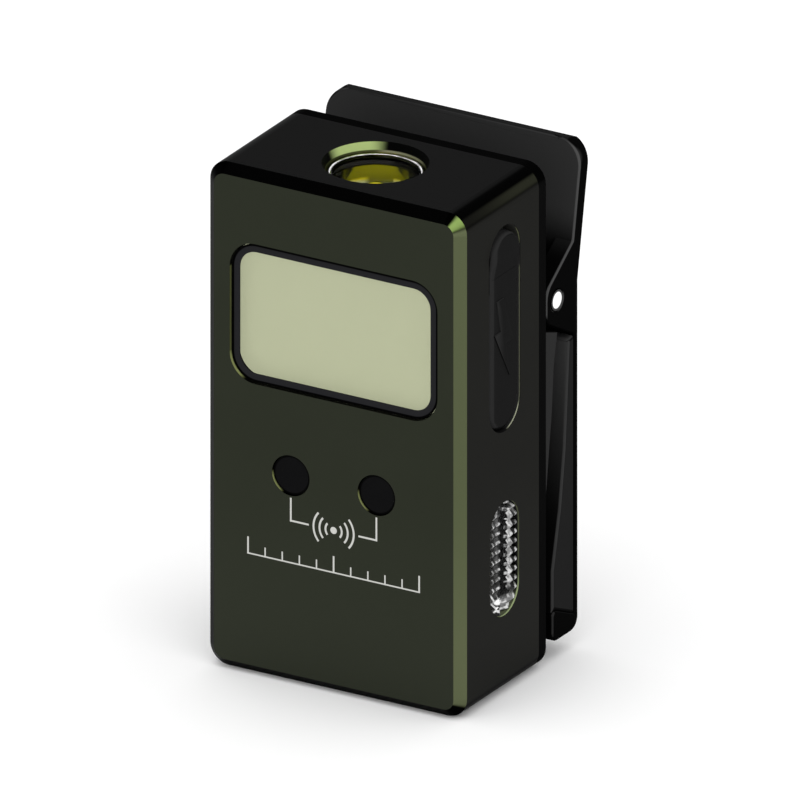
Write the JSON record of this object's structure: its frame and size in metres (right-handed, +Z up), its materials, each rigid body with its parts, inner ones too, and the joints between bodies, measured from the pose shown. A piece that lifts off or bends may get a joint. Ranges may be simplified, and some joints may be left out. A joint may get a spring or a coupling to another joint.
{
  "type": "clip-on pocket light",
  "caption": "Small box-shaped clip-on light with a head lamp, side lamp, display window, hand-wave sensor, covered charging port, power button and a sprung clip on the back.",
  "frame": {"origin": "centre of the body's bottom face", "axes": "+X to the object's right as its display is read, +Y to the back, towards the clip, +Z up towards the head lamp"},
  "size_m": [0.0307, 0.0257, 0.055],
  "materials": {
    "anodised_olive": "satin olive-black anodised",
    "black_cover": "satin black anodised",
    "black_rubber": "matt",
    "screw_steel": "dark",
    "clear_window": "polished",
    "clear_optic": "polished",
    "black_plastic": "matt",
    "lcd_green": "smooth, pale grey-green",
    "white_plastic": "matt",
    "zebra_pink": "matt",
    "ir_window": "smooth, dark",
    "ir_clear": "smooth",
    "ir_dark": "smooth, dark",
    "led_board": "white mask",
    "phosphor": "yellow phosphor",
    "dark_reflector": "polished, dark",
    "gold": "bright",
    "circuit_board": "green mask",
    "port_steel": "bright",
    "cell_foil": "foil",
    "foam": "soft",
    "button_plastic": "matt",
    "clip_black": "satin black",
    "clip_grey": "matt",
    "pin_steel": "bright"
  },
  "bodies": {
    "body": {"body_shell": "anodised_olive", "back_cover": "black_cover", "back_cover_gasket": "black_rubber", "back_cover_screws": "screw_steel", "display_window": "clear_window", "display_mask": "black_plastic", "lcd_panel": "lcd_green", "lcd_backlight": "white_plastic", "lcd_holder": "white_plastic", "lcd_connector": "zebra_pink", "sensor_window_left": "ir_window", "sensor_window_right": "ir_window", "sensor_shroud": "black_rubber", "ir_emitter": "ir_clear", "ir_receiver": "ir_dark", "head_lens": "clear_optic", "head_lens_holder": "dark_reflector", "head_lens_seal": "black_rubber", "head_led_board": "led_board", "head_led": "phosphor", "head_lead_pins": "gold", "side_lens": "clear_optic", "side_reflector": "white_plastic", "side_leds": "phosphor", "side_led_board": "circuit_board", "usb_cover_anchor": "black_rubber", "usb_receptacle": "port_steel", "usb_tongue": "black_plastic", "main_board": "circuit_board", "board_parts": "black_plastic", "board_screws": "screw_steel", "battery_cell": "cell_foil", "battery_pad": "foam", "battery_tabs": "port_steel", "button_switch": "black_plastic", "clip_base": "clip_grey", "clip_base_screws": "screw_steel", "clip_grip_pad": "black_rubber", "clip_pin": "pin_steel", "clip_spring": "port_steel"},
    "clip": {"clip_lever": "clip_black", "clip_jaw_insert": "clip_grey"},
    "button": {"power_button": "button_plastic", "switch_plunger": "white_plastic"},
    "port_cover": {"usb_cover": "black_rubber"}
  },
  "joints": [
    {"name": "clip_pivot", "type": "hinge", "parent": "body", "child": "clip", "pos_m": [0, 0.0107, 0.03925], "axis": [1, 0, 0], "range_deg": [0, 22], "stiffness_Nm_per_rad": 0.3, "springref_deg": -34.38, "deforming": ["clip_spring"]},
    {"name": "power_button_press", "type": "slide", "parent": "body", "child": "button", "axis": [1, 0, 0], "range_m": [0, 0.00035], "stiffness_N_per_m": 3000, "springref_m": -0.0005},
    {"name": "port_cover_swing", "type": "hinge", "parent": "body", "child": "port_cover", "pos_m": [0.0149, 0.00013, 0.0324], "axis": [0, 1, 0], "range_deg": [0, 95], "stiffness_Nm_per_rad": 0.0015, "springref_deg": -17.19}
  ]
}
